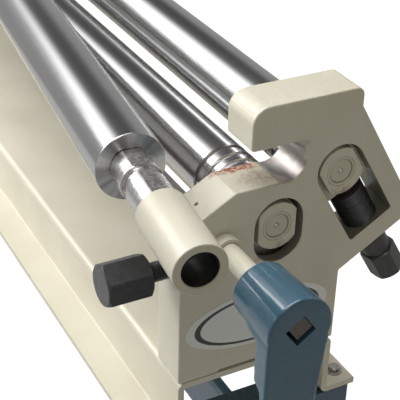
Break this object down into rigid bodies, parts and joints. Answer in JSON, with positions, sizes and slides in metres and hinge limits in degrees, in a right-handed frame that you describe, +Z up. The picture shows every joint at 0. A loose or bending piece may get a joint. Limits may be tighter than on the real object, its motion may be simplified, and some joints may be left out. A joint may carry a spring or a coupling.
{
  "type": "plate rolling machine",
  "caption": "Manual slip roll on a steel stand: driven pinch rolls, a rear forming roll on inclined slots, and a top roll swung out of its open hooked seat.",
  "frame": {"origin": "on the floor, under the middle of the whole machine's bounding box", "axes": "+X along the rolls toward the crank, +Y from the operator's side to the back, +Z up"},
  "size_m": [1.7546, 0.51, 1.103],
  "materials": {
    "cream_paint": "semi-gloss machine enamel, cream",
    "blue_paint": "semi-gloss machine enamel, blue-grey",
    "ground_steel": "ground and polished",
    "machined_steel": "machined",
    "black_oxide": "black oxide, satin",
    "bronze": "machined bearing bronze",
    "rubber": "matt"
  },
  "bodies": {
    "frame": {"bed": "cream_paint", "end_frame_right": "cream_paint", "end_frame_left": "cream_paint", "drive_bush_right": "cream_paint", "drive_bush_left": "cream_paint", "gear_cover": "cream_paint", "idler_stud": "machined_steel", "stand_end_right": "blue_paint", "stand_end_left": "blue_paint", "stretcher": "blue_paint", "foot_pad_front_right": "rubber", "foot_pad_front_left": "rubber", "foot_pad_rear_right": "rubber", "foot_pad_rear_left": "rubber"},
    "drive": {"drive_shaft": "machined_steel", "crank_hub": "blue_paint", "crank_arm": "blue_paint", "drive_pinion": "machined_steel", "grip_bolt": "machined_steel"},
    "grip": {"crank_grip": "rubber"},
    "idler": {"idler_gear": "machined_steel"},
    "top_swing": {"trunnion_block": "machined_steel"},
    "top_roll_body": {"top_roll": "ground_steel", "top_gear": "machined_steel"},
    "top_release": {"release_bush": "ground_steel", "release_sleeve": "cream_paint"},
    "lower_carriage": {"lower_block_right": "cream_paint", "lower_block_left": "cream_paint", "lower_bush_right": "bronze", "lower_bush_left": "bronze"},
    "lower_roll_body": {"lower_roll": "ground_steel", "lower_journal_right": "ground_steel", "lower_journal_left": "ground_steel", "lower_gear": "machined_steel"},
    "rear_carriage": {"rear_block_right": "cream_paint", "rear_block_left": "cream_paint", "rear_bush_right": "bronze", "rear_bush_left": "bronze"},
    "rear_roll_body": {"rear_roll": "ground_steel", "rear_journal_right": "ground_steel", "rear_journal_left": "ground_steel"},
    "wedge_right_body": {"wedge_right": "machined_steel"},
    "front_screw_right_body": {"front_screw_right": "black_oxide"},
    "rear_screw_right_body": {"rear_screw_right": "black_oxide"},
    "wedge_left_body": {"wedge_left": "machined_steel"},
    "front_screw_left_body": {"front_screw_left": "black_oxide"},
    "rear_screw_left_body": {"rear_screw_left": "black_oxide"}
  },
  "joints": [
    {"name": "crank_turn", "type": "hinge", "parent": "frame", "child": "drive", "pos_m": [0.60485, -0.0512, 0.9525], "axis": [1, 0, 0], "continuous": true},
    {"name": "grip_turn", "type": "hinge", "parent": "drive", "child": "grip", "pos_m": [0.75885, -0.06714, 0.6956], "axis": [1, 0, 0], "continuous": true},
    {"name": "idler_turn", "type": "hinge", "parent": "frame", "child": "idler", "pos_m": [-0.83265, -0.04255, 1.0147], "axis": [1, 0, 0], "continuous": true},
    {"name": "top_roll_swing", "type": "hinge", "parent": "frame", "child": "top_swing", "pos_m": [-0.82165, 0.0223, 1.0338], "axis": [0, 0, 1], "range_deg": [0, 6.22]},
    {"name": "top_roll_turn", "type": "hinge", "parent": "top_swing", "child": "top_roll_body", "pos_m": [-0.82165, 0.0223, 1.0338], "axis": [0.9941, -0.1084, 0], "continuous": true},
    {"name": "release_turn", "type": "hinge", "parent": "top_swing", "child": "top_release", "pos_m": [-0.82165, 0.0223, 1.0338], "axis": [0.9941, -0.1084, 0], "range_deg": [0, 90]},
    {"name": "lower_carriage_slide", "type": "slide", "parent": "frame", "child": "lower_carriage", "axis": [0, 0, 1], "range_m": [-0.006, 0.0005]},
    {"name": "lower_roll_turn", "type": "hinge", "parent": "lower_carriage", "child": "lower_roll_body", "pos_m": [0.60485, 0.0169, 0.9568], "axis": [1, 0, 0], "continuous": true},
    {"name": "rear_carriage_slide", "type": "slide", "parent": "frame", "child": "rear_carriage", "axis": [0, -0.5075, 0.8616], "range_m": [-0.055, 0]},
    {"name": "rear_roll_turn", "type": "hinge", "parent": "rear_carriage", "child": "rear_roll_body", "pos_m": [0.60485, 0.0934, 1.005], "axis": [1, 0, 0], "continuous": true},
    {"name": "wedge_right_slide", "type": "slide", "parent": "frame", "child": "wedge_right_body", "axis": [0, 1, 0], "range_m": [-0.024, 0.002]},
    {"name": "front_screw_right_turn", "type": "hinge", "parent": "wedge_right_body", "child": "front_screw_right_body", "pos_m": [0.57885, -0.1, 0.924], "axis": [0, 1, 0], "range_deg": [-2880, 240]},
    {"name": "rear_screw_right_turn", "type": "hinge", "parent": "rear_carriage", "child": "rear_screw_right_body", "pos_m": [0.57885, 0.0934, 1.005], "axis": [0, -0.5075, 0.8616], "range_deg": [-4950, 0]},
    {"name": "wedge_left_slide", "type": "slide", "parent": "frame", "child": "wedge_left_body", "axis": [0, 1, 0], "range_m": [-0.024, 0.002]},
    {"name": "front_screw_left_turn", "type": "hinge", "parent": "wedge_left_body", "child": "front_screw_left_body", "pos_m": [-0.80665, -0.1, 0.924], "axis": [0, 1, 0], "range_deg": [-2880, 240]},
    {"name": "rear_screw_left_turn", "type": "hinge", "parent": "rear_carriage", "child": "rear_screw_left_body", "pos_m": [-0.80665, 0.0934, 1.005], "axis": [0, -0.5075, 0.8616], "range_deg": [-4950, 0]}
  ],
  "couplings": [
    {"joint": "idler_turn", "follows": "crank_turn", "ratio": -1.1667},
    {"joint": "top_roll_turn", "follows": "crank_turn", "ratio": 0.875},
    {"joint": "lower_roll_turn", "follows": "crank_turn", "ratio": -0.875},
    {"joint": "wedge_right_slide", "follows": "lower_carriage_slide", "ratio": 4},
    {"joint": "wedge_left_slide", "follows": "lower_carriage_slide", "ratio": 4},
    {"joint": "front_screw_right_turn", "follows": "lower_carriage_slide", "rad_per_m": 8377.6},
    {"joint": "front_screw_left_turn", "follows": "lower_carriage_slide", "rad_per_m": 8377.6},
    {"joint": "rear_screw_right_turn", "follows": "rear_carriage_slide", "rad_per_m": 1570.8},
    {"joint": "rear_screw_left_turn", "follows": "rear_carriage_slide", "rad_per_m": 1570.8}
  ]
}
